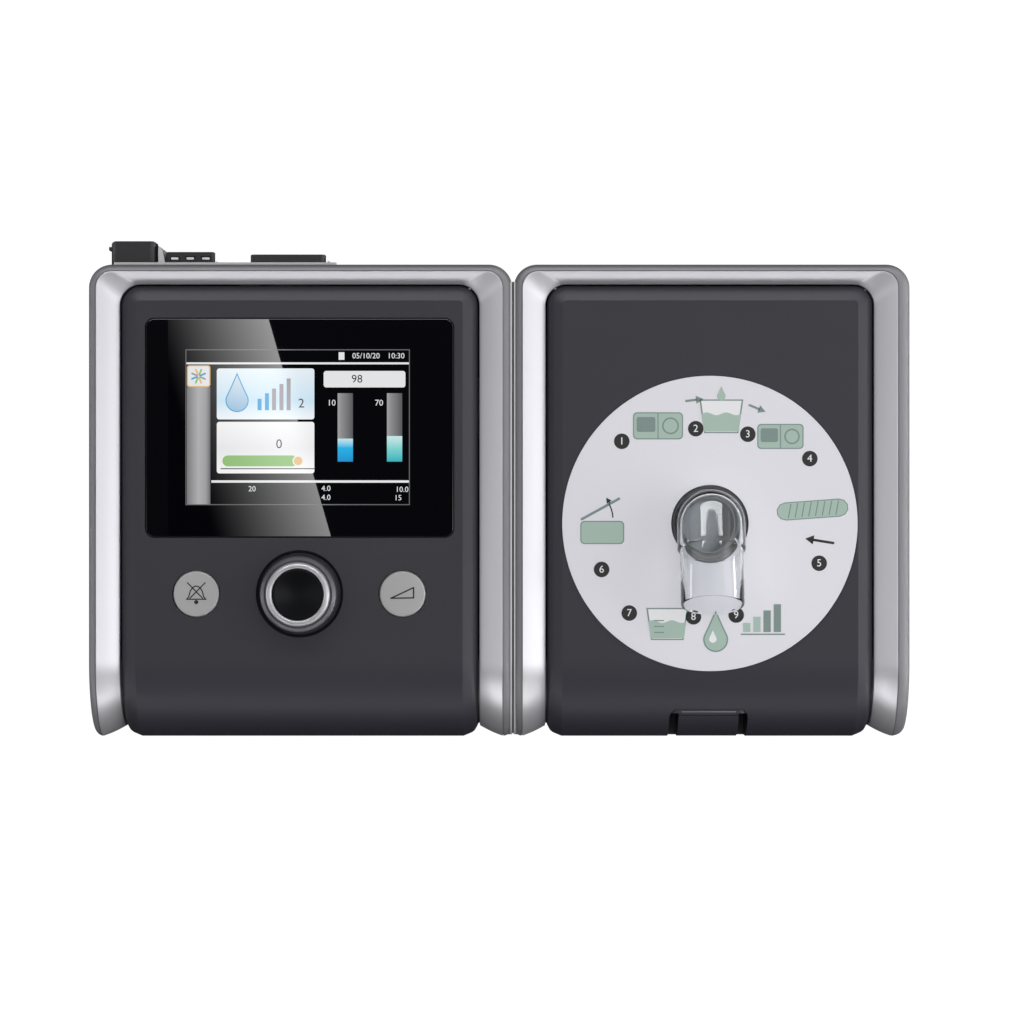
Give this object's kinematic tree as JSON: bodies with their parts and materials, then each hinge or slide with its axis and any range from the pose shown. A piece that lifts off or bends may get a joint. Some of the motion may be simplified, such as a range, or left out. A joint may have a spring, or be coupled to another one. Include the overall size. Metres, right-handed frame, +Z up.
{
  "type": "bilevel positive airway pressure machine",
  "caption": "Tabletop breathing therapy machine: a main unit with screen, knob and buttons on top, and a docked humidifier with a hinged lid, label disc and clear swivel outlet elbow.",
  "frame": {"origin": "middle of the machine's footprint, rear blocks included, on the table", "axes": "+X to the machine's right, towards the humidifier; +Y to the rear; +Z up"},
  "size_m": [0.29, 0.179, 0.134],
  "materials": {
    "shell": "grey moulded plastic, fine satin grain",
    "silver": "silver painted plastic, satin",
    "panel": "dark grey moulded plastic, fine spark grain",
    "screen": "black backed glass, polished",
    "black": "black plastic, satin",
    "button": "light grey satin plastic",
    "chrome": "polished silver ring",
    "label": "pale laminated paper label",
    "clear": "clear polycarbonate, polished",
    "board": "green solder mask",
    "rubber": "black rubber, matt",
    "soft_rubber": "grey silicone, matt",
    "inner": "natural white plastic, matt",
    "steel": "plated steel",
    "aluminium": "rolled, satin",
    "foam": "open cell filter foam"
  },
  "bodies": {
    "machine": {"main_housing": "shell", "main_base": "shell", "main_frame": "silver", "main_panel": "panel", "main_foot_1": "rubber", "main_foot_2": "rubber", "main_foot_3": "rubber", "main_foot_4": "rubber", "main_base_screw_1": "steel", "main_base_screw_2": "steel", "screen_glass": "screen", "display_module": "black", "main_board": "board", "mute_switch": "black", "ramp_switch": "black", "encoder_body": "steel", "blower_lower": "inner", "blower_upper": "inner", "blower_motor": "steel", "blower_mount": "soft_rubber", "outlet_spigot": "inner", "filter_box": "inner", "air_filter": "foam", "power_inlet": "black", "data_port": "black", "humidifier_housing": "shell", "humidifier_base": "shell", "humidifier_frame": "silver", "front_cover": "panel", "humidifier_foot_1": "rubber", "humidifier_foot_2": "rubber", "humidifier_foot_3": "rubber", "humidifier_foot_4": "rubber", "humidifier_base_screw_1": "steel", "humidifier_base_screw_2": "steel", "heater_tray": "inner", "heater_plate": "aluminium", "heater_block": "steel", "chamber_tub": "clear", "chamber_seal": "soft_rubber", "chamber_lid": "clear", "inlet_gasket": "soft_rubber", "hinge_pin_left": "steel", "hinge_pin_right": "steel"},
    "lid": {"lid_panel": "panel", "label_disc": "label", "elbow_socket": "black", "outlet_seal": "soft_rubber", "latch_spring": "steel"},
    "elbow": {"outlet_elbow": "clear"},
    "latch": {"latch_button": "panel"},
    "knob_stem": {"encoder_plunger": "steel"},
    "knob": {"knob_body": "black", "knob_ring": "chrome", "knob_cap": "black"},
    "mute_key": {"mute_button": "button"},
    "ramp_key": {"ramp_button": "button"},
    "rotor": {"motor_shaft": "steel", "blower_impeller": "black"},
    "filter_cover": {"filter_cap": "black"}
  },
  "joints": [
    {"name": "lid_hinge", "type": "hinge", "parent": "machine", "child": "lid", "pos_m": [0.0743, 0.0652, 0.1], "axis": [-1, 0, 0], "range_deg": [0, 28]},
    {"name": "elbow_swivel", "type": "hinge", "parent": "lid", "child": "elbow", "pos_m": [0.0743, -0.013, 0.1055], "axis": [0, 0, 1], "continuous": true},
    {"name": "latch_press", "type": "slide", "parent": "lid", "child": "latch", "axis": [0, 1, 0], "range_m": [0, 0.0025], "stiffness_N_per_m": 800, "springref_m": -0.002, "deforming": ["latch_spring"]},
    {"name": "knob_press", "type": "slide", "parent": "machine", "child": "knob_stem", "axis": [0, 0, -1], "range_m": [0, 0.0006], "stiffness_N_per_m": 2500, "springref_m": -0.0005},
    {"name": "knob_turn", "type": "hinge", "parent": "knob_stem", "child": "knob", "pos_m": [-0.07043, -0.0378, 0.1055], "axis": [0, 0, 1], "continuous": true},
    {"name": "mute_press", "type": "slide", "parent": "machine", "child": "mute_key", "axis": [0, 0, -1], "range_m": [0, 0.0005], "stiffness_N_per_m": 1500, "springref_m": -0.0005},
    {"name": "ramp_press", "type": "slide", "parent": "machine", "child": "ramp_key", "axis": [0, 0, -1], "range_m": [0, 0.0005], "stiffness_N_per_m": 1500, "springref_m": -0.0005},
    {"name": "impeller_spin", "type": "hinge", "parent": "machine", "child": "rotor", "pos_m": [-0.083, 0.0025, 0.07], "axis": [0, 0, 1], "continuous": true},
    {"name": "filter_pull", "type": "slide", "parent": "machine", "child": "filter_cover", "axis": [0, 1, 0], "range_m": [0, 0.012]}
  ]
}
